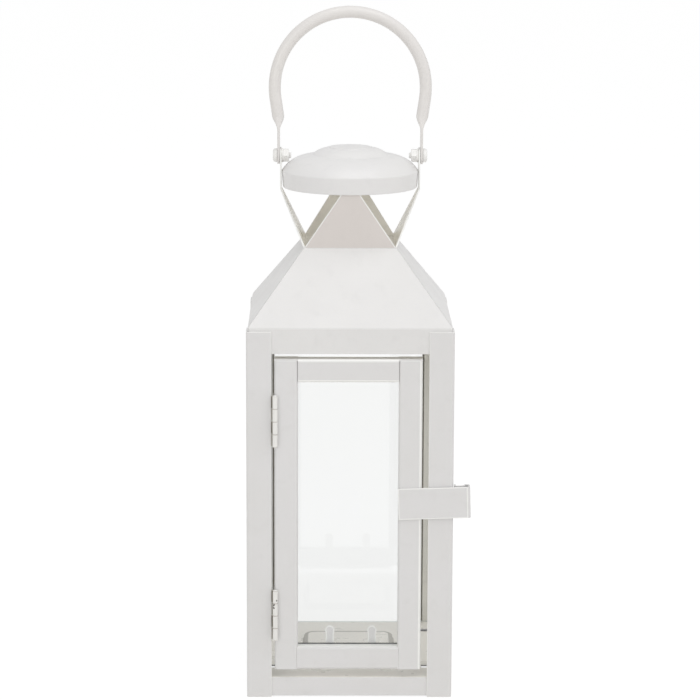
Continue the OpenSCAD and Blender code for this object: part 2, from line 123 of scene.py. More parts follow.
CLOUDS = Pattern(28, 3, 0.35, 0.65)
SPECKS = Pattern(1900, 1, 0.58, 0.75, 0.35)
DUST = Pattern(160, 5, 0.56, 0.72, 0.5)
SHEEN = Pattern(90, 4, 0.3, 0.7)
CHIPPING = Pattern(420, 4)
FRAY = Pattern(900, 3, 0.3, 0.7)
PEEL = Pattern(620, 2)
GRAIN = Pattern(2600, 1)
SMEARS = Pattern(35, 4, 0.5, 0.75)
WAVES = Pattern(12, 1)

SPECK_LIGHT = 0.93
DUST_LIGHT = 0.96
DULLEST = 0.06
BRIGHTEST = 0.05
CHIP_BLUR = 0.015
CHIP_START = 0.8
CHIP_END = 1.1
FRAY_REACH = 0.7
GRAIN_SHARE = 1 / 8
COARSE_PEEL = 0.00002
FINE_PEEL = 0.00001
COAT_DEPTH = 0.00006
WAVE_DEPTH = 0.00002
REFRACTION = 1.5
BARE_METAL = srgb(92, 86, 80)
FROM_LAMPS = ("Shadow", "Diffuse")
SHOWING = ("Camera", "Glossy", "Transmission")  # in view directly, mirrored or through glass


class NodeTree:
    """Short way to fill the node tree of a material or a world."""

    def __init__(self, owner: bpy.types.Material | bpy.types.World) -> None:
        """Empties the owner's tree.

        Args:
            owner: Whose tree it is.
        """
        owner.use_nodes = True
        self.tree = owner.node_tree
        self.tree.nodes.clear()
        self.place = self.add("TexCoord")["Object"]

    def add(self, kind: str, inputs: dict[int | str, object] | None = None,
            **settings: object) -> bpy.types.NodeOutputs:
        """Adds a node.

        Args:
            kind: Type name without the ShaderNode prefix.
            inputs: What its sockets get, the output of another node or a plain value.
            **settings: Properties to set on the node.

        Returns:
            The outputs of the new node.
        """
        node = self.tree.nodes.new("ShaderNode" + kind)
        for key, value in settings.items():
            setattr(node, key, value)
        for key, value in (inputs or {}).items():
            if isinstance(value, Socket):
                self.tree.links.new(value, node.inputs[key])
            else:
                node.inputs[key].default_value = value
        return node.outputs

    def close(self, shader: Socket, kind: str = "OutputMaterial") -> None:
        """Makes a shader the tree's result."""
        self.add(kind, {"Surface": shader})

    def noise(self, pattern: Pattern) -> Socket:
        """Adds a noise pattern, with a level from 0 to 1."""
        inputs = {"Vector": self.place, "Scale": pattern.scale, "Detail": pattern.detail}
        return self.add("TexNoise", inputs)["Fac"]

    def ramp(self, value: Socket, low: float, high: float,
             start: float = 0.0, end: float = 1.0) -> Socket:
        """Maps a value from one range to another, without overshoot.

        Args:
            value: Value to map.
            low: Value that gives start.
            high: Value that gives end.
            start: Result at low.
            end: Result at high.

        Returns:
            The mapped value.
        """
        return self.add("MapRange", {
            "Value": value, "From Min": low, "From Max": high, "To Min": start, "To Max": end,
        })["Result"]

    def shown(self, pattern: Pattern) -> Socket:
        """Adds a noise pattern and tells how strongly it shows."""
        level = self.noise(pattern)
        return self.ramp(level, pattern.low, pattern.high, 0.0, pattern.most)

    def blend(self, share: Socket, first: object, second: object) -> Socket:
        """Mixes two colours by the share of the second."""
        return self.add("Mix", {0: share, 6: first, 7: second}, data_type="RGBA")[2]

    def either(self, share: Socket, first: Socket, second: Socket) -> Socket:
        """Mixes two shaders by the share of the second."""
        return self.add("MixShader", {0: share, 1: first, 2: second})[0]

    def larger(self, first: Socket, second: Socket) -> Socket:
        """Takes the larger of two values."""
        return self.add("Math", {0: first, 1: second}, operation="MAXIMUM")[0]

    def bump(self, height: Socket, depth: float, under: Socket | None = None) -> Socket:
        """Adds relief.

        Args:
            height: Pattern that gives the height.
            depth: Depth of the relief in metres.
            under: Normal of a coarser relief below this one.

        Returns:
            The bent normal.
        """
        inputs = {"Strength": 1.0, "Distance": depth, "Height": height}
        if under is not None:
            inputs["Normal"] = under
        return self.add("Bump", inputs)["Normal"]

    def rays(self, kinds: Iterable[str]) -> Socket:
        """Gives 1 for rays of some kinds, such as Camera, and 0 for all others."""
        path = self.add("LightPath")
        return reduce(self.larger, [path["Is " + kind + " Ray"] for kind in kinds])


@dataclass(frozen=True)
class Chip:
    """A spot where the coat has come off: its middle and radius in metres."""

    place: Point
    size: float


@dataclass(frozen=True)
class Coat:
    """A finish, under the name of its material."""

    name: str

    def shader(self, nodes: NodeTree) -> Socket:
        """Builds the finish's shader in a tree."""
        raise NotImplementedError

    def material(self) -> bpy.types.Material:
        """Builds the material once.

        Returns:
            The material.
        """
        material = bpy.data.materials.get(self.name)
        if material is None:
            material = bpy.data.materials.new(self.name)
            nodes = NodeTree(material)
            nodes.close(self.shader(nodes))
        return material


@dataclass(frozen=True)
class PowderCoat(Coat):
    """Baked powder paint: orange peel, cloudy colour, and chips that show dark metal."""

    colour: Colour
    cloud: Colour  # what the colour drifts to in soft clouds
    shine: float = 0.34  # its roughness
    peel: float = COARSE_PEEL  # depth of the orange peel in metres
    chip_line: float = 0.9  # noise level above which the coat is off, 1 for none
    chips: tuple[Chip, ...] = ()

    def shader(self, nodes: NodeTree) -> Socket:
        """Builds the paint's shader.

        Args:
            nodes: Tree to add to.

        Returns:
            The shader.
        """
        coat = nodes.blend(nodes.shown(CLOUDS), self.colour, self.cloud)
        coat = nodes.blend(nodes.shown(SPECKS), coat, dimmed(self.colour, SPECK_LIGHT))
        coat = nodes.blend(nodes.shown(DUST), coat, dimmed(self.cloud, DUST_LIGHT))
        chipping = nodes.noise(CHIPPING)
        chips = nodes.ramp(chipping, self.chip_line, self.chip_line + CHIP_BLUR)
        for chip in self.chips:
            chips = nodes.larger(chips, self.spot(nodes, chip))
        sheen = nodes.noise(SHEEN)
        bright, dull = self.shine - BRIGHTEST, self.shine + DULLEST
        rough = nodes.ramp(sheen, SHEEN.low, SHEEN.high, bright, dull)
        peel = nodes.bump(nodes.noise(PEEL), self.peel)
        grain = nodes.bump(nodes.noise(GRAIN), self.peel * GRAIN_SHARE, peel)
        shell = nodes.bump(nodes.ramp(chips, 0.0, 1.0, 1.0, 0.0), COAT_DEPTH, grain)
        return nodes.add("BsdfPrincipled", {
            "Base Color": nodes.blend(chips, coat, BARE_METAL), "Roughness": rough,
            "IOR": REFRACTION, "Normal": shell,
        })["BSDF"]

    def spot(self, nodes: NodeTree, chip: Chip) -> Socket:
        """Marks one chipped spot with a ragged edge.

        Args:
            nodes: Tree to add to.
            chip: The spot.

        Returns:
            1 inside the spot, 0 outside.
        """
        ends = {0: nodes.place, 1: chip.place}
        away = nodes.add("VectorMath", ends, operation="DISTANCE")["Value"]
        reach = FRAY_REACH * chip.size
        fray = nodes.ramp(nodes.noise(FRAY), FRAY.low, FRAY.high, -reach, reach)
        edge = nodes.add("Math", {0: away, 1: fray}, operation="ADD")[0]
        return nodes.ramp(edge, CHIP_START * chip.size, CHIP_END * chip.size, 1.0, 0.0)


@dataclass(frozen=True)
class FloatGlass(Coat):
    """Clear glass that lets lamps through, with faint smears."""

    tint: Point  # what one pass through the pane leaves of white light
    haze: float  # roughness that the smears add
    ground: float  # roughness all over, for an edge that was ground

    def shader(self, nodes: NodeTree) -> Socket:
        """Builds the glass's shader.

        Args:
            nodes: Tree to add to.

        Returns:
            The shader.
        """
        smears = nodes.noise(SMEARS)
        hazy = self.ground + self.haze
        glass = nodes.add("BsdfPrincipled", {
            "Base Color": (*self.tint, 1.0), "Transmission Weight": 1.0, "IOR": REFRACTION,
            "Roughness": nodes.ramp(smears, SMEARS.low, SMEARS.high, self.ground, hazy),
            "Normal": nodes.bump(nodes.noise(WAVES), WAVE_DEPTH),
        })["BSDF"]
        one_side = (*(sqrt(part) for part in self.tint), 1.0)
        clear = nodes.add("BsdfTransparent", {"Color": one_side})["BSDF"]
        return nodes.either(nodes.rays(FROM_LAMPS), glass, clear)


SHEET_COAT = PowderCoat("coat_on_sheet", srgb(230, 229, 228), srgb(227, 226, 225))
# painted shade: a little darker copy of the sheet coat, for the upright posts, door and tray
SHADED_POST_COAT = PowderCoat("coat_on_posts_painted_shade", srgb(226, 225, 225), srgb(224, 223, 222), 0.36)
# painted shade: darker, warmer copy of the sheet coat for the petals, which lean out and face down
PETAL_SHADE_COAT = PowderCoat("coat_on_petals_painted_shade", srgb(227, 221, 217), srgb(224, 218, 214))
CAP_COAT = PowderCoat("coat_on_cap", srgb(233, 232, 231), srgb(230, 229, 229))
# painted light: lighter copy of the coat for faces inside the lantern and under the cap, the
# tray's top and the back-right post's inside
INSIDE_LIGHT_COAT = PowderCoat(
    "coat_inside_painted_light", srgb(251, 248, 240), srgb(249, 246, 238), 0.3, FINE_PEEL, 1.0,
)
# painted highlight: lighter coat on rounded edges, folds and rims of the folded sheet pieces, with
# a few chips
EDGE_HIGHLIGHT_COAT = PowderCoat(
    "coat_on_edges_painted_highlight", srgb(248, 248, 246), srgb(245, 245, 242), 0.34, FINE_PEEL, 0.76,
)
HANDLE_COAT = PowderCoat(
    "coat_on_handle", srgb(230, 227, 224), srgb(227, 224, 222), chip_line=0.85,
)
HARDWARE_COAT = PowderCoat(
    "coat_on_hardware", srgb(245, 244, 242), srgb(241, 240, 238), 0.24, FINE_PEEL, 0.76,
)
# painted shade: darker coat for the seat's outline on the tray and the hinges' rounded edges and
# knuckle seams
SHADE_LINE_COAT = PowderCoat(
    "painted_shade_lines", srgb(196, 193, 186), srgb(188, 184, 176), 0.5, COARSE_PEEL, 0.76,
)
# dark coat: painted shade in the hinges' gap beside the barrel, and a dark strip beside the pane
# on the back posts
DARK_STRIP_COAT = PowderCoat("dark_strip_in_gap", srgb(112, 106, 94), srgb(98, 92, 80), 0.7)
HINGE_COAT = PowderCoat(
    "coat_on_hinges", srgb(240, 239, 236), srgb(235, 234, 231), 0.2, FINE_PEEL, 0.76,
    (
        Chip((-0.0369, -0.0529, 0.0474), 0.0006), Chip((-0.0369, -0.0529, 0.0462), 0.0005),
        Chip((-0.0353, -0.0529, 0.0498), 0.0004),
    ),
)
PANE_GLASS = FloatGlass("pane_glass", (0.941, 0.945, 0.942), 0.03, 0.0)
PANE_EDGE = FloatGlass("ground_pane_edge", (0.82, 0.86, 0.84), 0.1, 0.35)
# painted shade: near-black edge of the door pane, which shows as a dark line along the sill
DARK_PANE_EDGE = FloatGlass("dark_pane_edge_painted_shade", (0.012, 0.014, 0.012), 0.1, 0.35)


# --- Bench ---


@dataclass(frozen=True)
class Rounding:
    """How the edges of a piece are broken."""

    width: float  # in metres, from the edge
    steps: int = 2  # faces across
    limit: float = 30.0  # smallest angle in degrees that counts as an edge


@dataclass(frozen=True)
class Finish:
    """Finishes of a piece: its faces, its rounded edges, and others for marked faces."""

    face: Coat
    edge: Coat
    others: tuple[Coat, ...] = ()

    def coats(self) -> tuple[Coat, ...]:
        """All the finishes, in the order of the piece's materials."""
        return (self.face, self.edge, *self.others)

    def mark(self, faces: Iterable[Face], coat: Coat) -> None:
        """Marks faces for one of the finishes.

        Args:
            faces: Faces to mark.
            coat: The finish that they get.
        """
        index = self.coats().index(coat)
        for face in faces:
            face.material_index = index


# painted light and shade in the finishes: the post, petal and shade line coats are painted shade,
# the edge coat is a painted highlight, the inside coat is painted light
PAINTED = Finish(SHEET_COAT, EDGE_HIGHLIGHT_COAT)
PAINTED_POST = Finish(SHADED_POST_COAT, EDGE_HIGHLIGHT_COAT, (INSIDE_LIGHT_COAT, DARK_STRIP_COAT))
PAINTED_TRAY = Finish(SHADED_POST_COAT, EDGE_HIGHLIGHT_COAT, (INSIDE_LIGHT_COAT, SHADE_LINE_COAT))
PAINTED_HOOD = Finish(SHEET_COAT, EDGE_HIGHLIGHT_COAT, (PETAL_SHADE_COAT, INSIDE_LIGHT_COAT))
PAINTED_CAP = Finish(CAP_COAT, CAP_COAT, (INSIDE_LIGHT_COAT,))
PAINTED_DOOR = Finish(SHADED_POST_COAT, EDGE_HIGHLIGHT_COAT)
PAINTED_HANDLE = Finish(HANDLE_COAT, HANDLE_COAT)
PAINTED_HARDWARE = Finish(HARDWARE_COAT, HARDWARE_COAT)
# the hinge's rounded edges and knuckle seams take a darker coat: painted shade
PAINTED_HINGE = Finish(HINGE_COAT, SHADE_LINE_COAT, (DARK_STRIP_COAT,))
GLAZED = Finish(PANE_GLASS, PANE_EDGE)
GLAZED_DOOR = Finish(PANE_GLASS, DARK_PANE_EDGE)


class Bench:
    """Turns meshes into finished pieces that stand for the frame's solids."""

    MERGE = 1e-7
    MIRROR_MERGE = 1e-6
    CLOSE = 0.01 * MM
    FLAT_ANGLE = radians(0.4)
    CREASE_ANGLE = radians(32)
    EDGE_MATERIAL = 1
    FULL_WEIGHT = 100

    @classmethod
    def copy_of(cls, node: str) -> Shape:
        """Copies a solid, merged and with its flat faces made whole.

        Args:
            node: Name of the solid.

        Returns:
            The copy.
        """
        shape = bmesh.new()
        shape.from_mesh(bpy.data.objects[node].data)
        ops.remove_doubles(shape, verts=shape.verts, dist=cls.CLOSE)
        ops.dissolve_limit(
            shape, angle_limit=cls.FLAT_ANGLE, verts=shape.verts, edges=shape.edges,
            delimit={"NORMAL"},
        )
        return shape

    @classmethod
    def cut(cls, shape: Shape, faces: Iterable[Face], point: Iterable[float],
            normal: Iterable[float]) -> None:
        """Splits faces along a plane.

        Args:
            shape: Mesh that they belong to.
            faces: Faces to split.
            point: A point of the plane.
            normal: Direction across the plane.
        """
        faces = list(faces)
        edges = dict.fromkeys(edge for face in faces for edge in face.edges)
        verts = dict.fromkeys(vert for face in faces for vert in face.verts)
        parts = [*verts, *edges, *faces]
        ops.bisect_plane(shape, geom=parts, dist=cls.MERGE, plane_co=point, plane_no=normal)

    @classmethod
    def spun(cls, profile: list[tuple[float, float]], steps: int) -> Shape:
        """Spins a profile round the Z axis.

        Args:
            profile: Radius and height of each point in metres, from foot to top.
            steps: Faces round the axis.

        Returns:
            The closed or open shell, with its faces outwards.
        """
        shape = bmesh.new()
        points = [shape.verts.new((radius, 0.0, height)) for radius, height in profile]
        lines = [shape.edges.new(pair) for pair in zip(points, points[1:])]
        ops.spin(
            shape, geom=points + lines, axis=(0, 0, 1),
            angle=tau, steps=steps, use_merge=True,
        )
        ops.remove_doubles(shape, verts=shape.verts, dist=cls.MERGE)
        ops.recalc_face_normals(shape, faces=shape.faces)
        return shape

    @staticmethod
    def grow(shape: Shape, rim: list[Edge], move: Matrix) -> list[Edge]:
        """Extrudes a rim and moves the new one.

        Args:
            shape: Mesh to work on.
            rim: Edges of the open rim.
            move: Where the new rim goes.

        Returns:
            Edges of the new rim.
        """
        made = ops.extrude_edge_only(shape, edges=rim)["geom"]
        points = [item for item in made if isinstance(item, Vert)]
        ops.transform(shape, matrix=move, verts=points)
        fresh = set(points)
        return [item for item in made if isinstance(item, Edge) and fresh.issuperset(item.verts)]

    @staticmethod
    def close(shape: Shape, rim: list[Edge]) -> None:
        """Closes an open rim with one face."""
        ops.contextual_create(shape, geom=list({end for edge in rim for end in edge.verts}))

    @staticmethod
    def placed(item: bpy.types.Object) -> bpy.types.Object:
        """Puts an object into the scene."""
        bpy.context.scene.collection.objects.link(item)
        return item

    @classmethod
    def finish(cls, shape: Shape, name: str, node: str, finish: Finish,
               rounding: Rounding | None = None, body: Body = Body.HOUSING,
               slot: Slot = Slot.SHEET, even: bool = True) -> None:
        """Makes the piece's object, rounds and dresses it and puts it in the node's place.

        Args:
            shape: Its mesh, which is used up.
            name: Name of the piece.
            node: Solid that the piece stands for.
            finish: Finish of faces and edges.
            rounding: How its edges are broken, or None where they are in the mesh.
            body: Body that it rides on.
            slot: Material slot; not used.
            even: Whether its flat faces are shaded evenly up to their edges.
        """
        mesh = bpy.data.meshes.new(name)
        shape.to_mesh(mesh)
        shape.free()
        mesh.polygons.foreach_set("use_smooth", [True] * len(mesh.polygons))
        mesh.set_sharp_from_angle(angle=cls.CREASE_ANGLE)
        for coat in finish.coats():
            mesh.materials.append(coat.material())
        piece = cls.placed(bpy.data.objects.new(name, mesh))
        if rounding is not None:
            bevel = piece.modifiers.new("edges", "BEVEL")
            bevel.width = rounding.width
            bevel.segments = rounding.steps
            bevel.limit_method = "ANGLE"
            bevel.angle_limit = radians(rounding.limit)
            bevel.use_clamp_overlap = False
            # rounded edges take the finish's edge coat, which is a painted highlight on the folded
            # sheet pieces and painted shade on the hinge leaves
            bevel.material = cls.EDGE_MATERIAL
        if even:
            normals = piece.modifiers.new("even_faces", "WEIGHTED_NORMAL")
            normals.mode = "FACE_AREA"
            normals.weight = cls.FULL_WEIGHT
            normals.keep_sharp = True
        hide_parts(node)
        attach(piece, body.value)
        log.info("%s: %d faces on %s", name, len(mesh.polygons), body.value)


# --- Sub-assemblies ---


@dataclass
class Base:
    """Tray with its raised seat, and the four angle posts."""

    edge: float = 0.07 * MM
    seat_round: float = 0.9 * MM
    seat_foot: float = 0.7 * MM
    seat_height: float = 2.5 * MM
    tray_top: float = 10.1 * MM
    seat_half: float = 22.5 * MM
    soft_steps: int = 4
    shade_ring: float = 1.2 * MM
    reach: float = 0.3 * MM
    near: float = 0.03 * MM
    level: float = 0.6
    facing_front: float = -0.3
    post_edge: float = 0.2 * MM
    dark_strip_place: float = 38.3 * MM
    dark_strip_width: float = 0.7 * MM

    def build(self) -> None:
        """Builds the tray and the posts."""
        self.build_tray()
        for side in ("front_left", "front_right", "back_left", "back_right"):
            self.build_post(side)

    def build_tray(self) -> None:
        """Builds the tray, its seat pressed up with soft edges, with painted light on its upper
        faces and a painted shade line round the seat.
        """
        shape = Bench.copy_of("base_tray")
        # painted light: the tray's upward faces take the lighter inside coat
        PAINTED_TRAY.mark((
            face for face in shape.faces if face.normal.z > self.level
            and face.calc_center_median().z > self.tray_top - self.reach
        ), INSIDE_LIGHT_COAT)
        seat_top = self.tray_top + self.seat_height
        rim = self.soften(shape, seat_top, self.seat_round)
        seat = [
            face for face in shape.faces if face.normal.z > 1 - Bench.MERGE
            and face.calc_center_median().z > seat_top - self.reach
        ]
        # painted shade: a darker ring inset round the top of the seat, drawn as a shadow line
        shade_ring = ops.inset_region(shape, faces=seat, thickness=self.shade_ring, use_even_offset=True)
        PAINTED_TRAY.mark(shade_ring["faces"], SHADE_LINE_COAT)
        # painted shade: the rounded rim and foot of the seat are painted darker
        foot = self.soften(shape, self.tray_top, self.seat_foot)
        PAINTED_TRAY.mark([*rim, *foot], SHADE_LINE_COAT)
        # painted light: the front of the seat's rounded rim takes the lighter inside coat, the
        # rest stays painted shade
        front = [face for face in rim if face.normal.y <= self.facing_front]
        PAINTED_TRAY.mark(front, INSIDE_LIGHT_COAT)
        Bench.finish(shape, "tray", "base_tray", PAINTED_TRAY, Rounding(self.edge))

    def soften(self, shape: Shape, height: float, width: float) -> list[Face]:
        """Rounds the seat's outline at one height.

        Args:
            shape: The tray's mesh.
            height: Height of the outline above the ground.
            width: Width of the rounding.

        Returns:
            Faces of the rounding.
        """
        limit = self.seat_half + self.reach
        outline = [
            edge for edge in shape.edges
            if edge.calc_face_angle(0.0) > Bench.CREASE_ANGLE
            and all(
                abs(end.co.z - height) < self.near
                and max(abs(end.co.x), abs(end.co.y)) < limit for end in edge.verts
            )
        ]
        return ops.bevel(
            shape, geom=outline, offset=width, segments=self.soft_steps, profile=0.5,
            affect="EDGES", material=-1,
        )["faces"]

    def build_post(self, side: str) -> None:
        """Builds one angle post.

        Args:
            side: Which corner, such as front_left.
        """
        node = "post_" + side
        shape = Bench.copy_of(node)
        if side.startswith("back"):
            self.dress_back_post(shape, side)
        Bench.finish(shape, "angle_" + node, node, PAINTED_POST, Rounding(self.post_edge))

    def dress_back_post(self, shape: Shape, side: str) -> None:
        """Dresses the inside of a back post: painted light on the back-right post's inner faces,
        and a dark strip beside the pane.

        Args:
            shape: Mesh of the post.
            side: back_left or back_right.
        """
        sign = 1 if side == "back_right" else -1
        if sign > 0:
            # painted light: the back-right post's inner faces take the lighter inside coat
            inside = [face for face in shape.faces if face.normal.y < -self.level]
            PAINTED_POST.mark(inside, INSIDE_LIGHT_COAT)
        # a dark strip is painted along the inner face beside the pane
        for place in (self.dark_strip_place, self.dark_strip_place + self.dark_strip_width):
            Bench.cut(shape, shape.faces, (sign * place, 0, 0), (1, 0, 0))
        PAINTED_POST.mark((
            face for face in shape.faces if face.normal.y < -self.level
            and 0 < sign * face.calc_center_median().x - self.dark_strip_place < self.dark_strip_width
        ), DARK_STRIP_COAT)


@dataclass
class Hood:
    """Roof with its skirt, petals and ears."""

    edge: float = 0.08 * MM
    highlight_width: float = 0.5 * MM
    long_side: float = 10 * MM
    steepness: float = 0.5
    throat_rise: float = 48.5 * MM
    level: float = 0.6
    petal_index: int = PAINTED_HOOD.coats().index(PETAL_SHADE_COAT)

    def build(self) -> None:
        """Builds the hood, with painted light inside, painted shade on the front and back petals
        and a painted highlight along their rim.
        """
        shape = Bench.copy_of("roof_hood")
        # painted light: faces that look into the lantern take the lighter inside coat
        PAINTED_HOOD.mark(filter(self.faces_in, shape.faces), INSIDE_LIGHT_COAT)
        petals = list(filter(self.on_petal, shape.faces))
        # painted shade on the outer faces of the front and back petals
        PAINTED_HOOD.mark(petals, PETAL_SHADE_COAT)
        # painted highlight: a lighter band inside each slanted side of the petals
        for place, inward in self.highlight_lines(petals):
            Bench.cut(shape, self.petal_at(shape, place), place, inward)
            PAINTED_HOOD.mark((
                face for face in self.petal_at(shape, place)
                if (face.calc_center_median() - place).dot(inward) < 0
            ), EDGE_HIGHLIGHT_COAT)
        Bench.finish(shape, "hood", "roof_hood", PAINTED_HOOD, Rounding(self.edge))

    def petal_at(self, shape: Shape, place: Vector) -> list[Face]:
        """Finds the outer faces of the petal, front or back, that a point lies on and that still
        have the petal's painted shade.
        """
        petals = [face for face in shape.faces if face.material_index == self.petal_index]
        return [face for face in petals if face.normal.y * place.y > 0]

    def highlight_lines(self, petals: list[Face]) -> list[tuple[Vector, Vector]]:
        """Finds the inner line of the painted highlight along each slanted side of the petals.

        Args:
            petals: Outer faces of the front and back petals.

        Returns:
            A point of each line and the direction from the rim to the petal's middle.
        """
        lines = []
        for face in sorted(petals, key=lambda face: face.calc_area())[-2:]:
            middle = face.calc_center_median()
            for edge in face.edges:
                start, end = (vert.co for vert in edge.verts)
                along = end - start
                slanted = abs(along.z) > self.steepness * abs(along.x)
                if slanted and edge.calc_length() > self.long_side:
                    inward = face.normal.cross(along).normalized()
                    if inward.dot(middle - start) < 0:
                        inward.negate()
                    lines.append((start + inward * self.highlight_width, inward))
        return lines

    def faces_in(self, face: Face) -> bool:
        """Tells whether a face looks into the lantern."""
        out = face.normal.xy.dot(face.calc_center_median().xy)
        return out < 0 and face.normal.z < self.level

    def on_petal(self, face: Face) -> bool:
        """Tells whether a face is the outer face of the front or back petal."""
        above = face.calc_center_median().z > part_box("roof_hood")[0][2] + self.throat_rise
        return above and abs(face.normal.y) > self.level and not self.faces_in(face)


@dataclass
class Cap:
    """Cap spun from one disc: rim, round shoulder, shallow cone, crown and flat button."""

    rim_foot: float = 32.8 * MM
    rim_height: float = 8.0 * MM
    wall: float = 0.8 * MM
    shoulder: float = 15.5 * MM
    lean: float = 31.0
    slope: float = 8.0
    arc_steps: int = 13
    crown_foot: float = 18.5 * MM
    crown_height: float = 3.3 * MM
    crown_steps: int = 7
    button: float = 10.4 * MM
    button_height: float = 0.5 * MM
    round_steps: int = 144
    crease: Rounding = Rounding(0.3 * MM, steps=3, limit=14)

    def build(self) -> None:
        """Builds the cap."""
        shape = Bench.spun(self.profile(), self.round_steps)
        outside = set(shape.faces)
        ops.solidify(shape, geom=shape.faces, thickness=self.wall)
        # painted light: the cap's inner faces take the lighter inside coat
        PAINTED_CAP.mark((face for face in shape.faces if face not in outside), INSIDE_LIGHT_COAT)
        Bench.finish(shape, "spun_cap", "cap", PAINTED_CAP, self.crease, even=False)

    def profile(self) -> list[tuple[float, float]]:
        """Outline from the rim's lower edge to the middle of the button.

        Returns:
            Radius and height of each point in metres.
        """
        low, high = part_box("cap")
        rim_z = low[2] + self.rim_height
        lean, slope = radians(self.lean), radians(self.slope)
        middle = high[0] - self.shoulder * cos(lean)
        height = rim_z - self.shoulder * sin(lean)
        points = [(self.rim_foot, low[2])]
        for step in range(self.arc_steps + 1):
            angle = lean + (pi / 2 - slope - lean) * step / self.arc_steps
            points.append((
                middle + self.shoulder * cos(angle), height + self.shoulder * sin(angle),
            ))
        step_width = self.crown_foot - self.button
        top = high[2] - self.button_height
        bend = (step_width ** 2 + self.crown_height ** 2) / (2 * self.crown_height)
        for step in range(self.crown_steps + 1):
            out = step_width * (1 - step / self.crown_steps)
            points.append((self.button + out, top - bend + sqrt(bend ** 2 - out ** 2)))
        return [*points, (self.button, high[2]), (0.0, high[2])]


@dataclass(frozen=True)
class Section:
    """One section through the end of the bail."""

    middle: float  # its middle along X
    height: float
    ease: float  # 0 for the round rod, 1 for the flat
    tilt: float  # how far it leans in, in radians
    width: float  # width of the flat at this height


@dataclass
class Handle:
    """Round bail whose ends are pinched flat over the pivots."""

    rod: float = 5.9 * MM
    bend: float = 36.81 * MM
    lean: float = 8.2
    leg: float = 10.4 * MM
    lead: float = 1.8 * MM
    pinch: float = 5.0 * MM
    flat_width: float = 8.5 * MM
    flat_middle: float = 34.95 * MM
    flat_thickness: float = 1.3 * MM
    corner: float = 0.3
    ring_points: int = 44
    arc_steps: int = 56
    pinch_steps: int = 13
    end_turns: tuple[int, ...] = (20, 38, 54, 68, 79, 86)

    def build(self) -> None:
        """Builds one half from the top down and mirrors it."""
        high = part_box("carry_handle")[1]
        centre = Vector((0, 0, high[2] - self.rod / 2 - self.bend))
        shape = bmesh.new()
        top = Matrix.Translation(centre + Vector((0, 0, self.bend)))
        ring = ops.create_circle(
            shape, segments=self.ring_points, radius=self.rod / 2,
            matrix=top @ Matrix.Rotation(pi / 2, 4, "Y"),
        )["verts"]
        edges = list({edge for vert in ring for edge in vert.link_edges})
        spun = ops.spin(
            shape, geom=ring + edges, cent=centre, axis=(0, 1, 0),
            angle=radians(90 + self.lean), steps=self.arc_steps,
        )["geom_last"]
        self.build_leg(shape, [item for item in spun if isinstance(item, Edge)], centre)
        ops.mirror(
            shape, geom=shape.verts[:] + shape.edges[:] + shape.faces[:],
            matrix=Matrix.Identity(4), merge_dist=Bench.MIRROR_MERGE, axis="X",
        )
        ops.remove_doubles(shape, verts=shape.verts, dist=Bench.MIRROR_MERGE)
        ops.recalc_face_normals(shape, faces=shape.faces)
        Bench.finish(shape, "bail", "carry_handle", PAINTED_HANDLE, body=Body.HANDLE, even=False)

    def build_leg(self, shape: Shape, rim: list[Edge], centre: Vector) -> None:
        """Runs the rod down the leg, pinches it flat and rounds its end.

        Args:
            shape: Mesh of the half.
            rim: Open rim at the end of the arc.
            centre: Centre of the arc.
        """
        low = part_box("carry_handle")[0]
        lean = radians(self.lean)
        pivot = low[2] + self.flat_width / 2
        down = Vector((-sin(lean), 0, -cos(lean)))
        rim = Bench.grow(shape, rim, Matrix.Translation(down * (self.leg - self.lead)))
        foot = centre.z - self.bend * sin(lean) - self.leg * cos(lean)
        out, rise = self.lead * sin(lean), self.lead * cos(lean)
        middle = Vector((self.flat_middle + out, 0, foot + rise))
        angles = self.angles_of(rim, middle, Vector((cos(lean), 0, -sin(lean))))
        drop = rise + self.pinch
        for step in range(1, self.pinch_steps + 1):
            share = step / self.pinch_steps
            bent = max(0.0, 1 - share * drop / (2 * rise))
            angles = self.lay(shape, angles, Section(
                self.flat_middle + out * bent ** 2, foot + rise - drop * share,
                share * share * (3 - 2 * share), lean * bent, self.flat_width,
            ))
        for turn in (0, *self.end_turns):
            depth = self.flat_width / 2 * sin(radians(turn))
            width = self.flat_width * cos(radians(turn))
            angles = self.lay(
                shape, angles, Section(self.flat_middle, pivot - depth, 1.0, 0.0, width),
            )
        ops.contextual_create(shape, geom=list(angles))

    def angles_of(self, rim: list[Edge], middle: Vector, out: Vector) -> dict[Vert, float]:
        """Finds where round the rod each point of a rim lies, as an angle from its outside."""
        points = {end for edge in rim for end in edge.verts}
        return {end: atan2(end.co.y, (end.co - middle).dot(out)) for end in points}

    def lay(self, shape: Shape, ring: dict[Vert, float], section: Section) -> dict[Vert, float]:
        """Extrudes a ring and lays the new one as a flatter section.

        Args:
            shape: Mesh of the half.
            ring: Points of the last ring and their angles.
            section: Where and how flat the new ring is.

        Returns:
            Points of the new ring and their angles.
        """
        rim = list({
            edge for vert in ring for edge in vert.link_edges if edge.other_vert(vert) in ring
        })
        made = ops.extrude_edge_only(shape, edges=rim)["geom"]
        fresh: dict[Vert, float] = {}
        for vert in (item for item in made if isinstance(item, Vert)):
            ends = (edge.other_vert(vert) for edge in vert.link_edges)
            fresh[vert] = next(ring[end] for end in ends if end in ring)
        power = 1 - (1 - self.corner) * section.ease
        deep = self.rod + (self.flat_thickness - self.rod) * section.ease
        wide = self.rod + (section.width - self.rod) * section.ease
        for vert, angle in fresh.items():
            across = copysign(abs(cos(angle)) ** power, cos(angle)) * deep / 2
            along = copysign(abs(sin(angle)) ** power, sin(angle)) * wide / 2
            vert.co = (
                section.middle + across * cos(section.tilt), along,
                section.height - across * sin(section.tilt),
            )
        return fresh


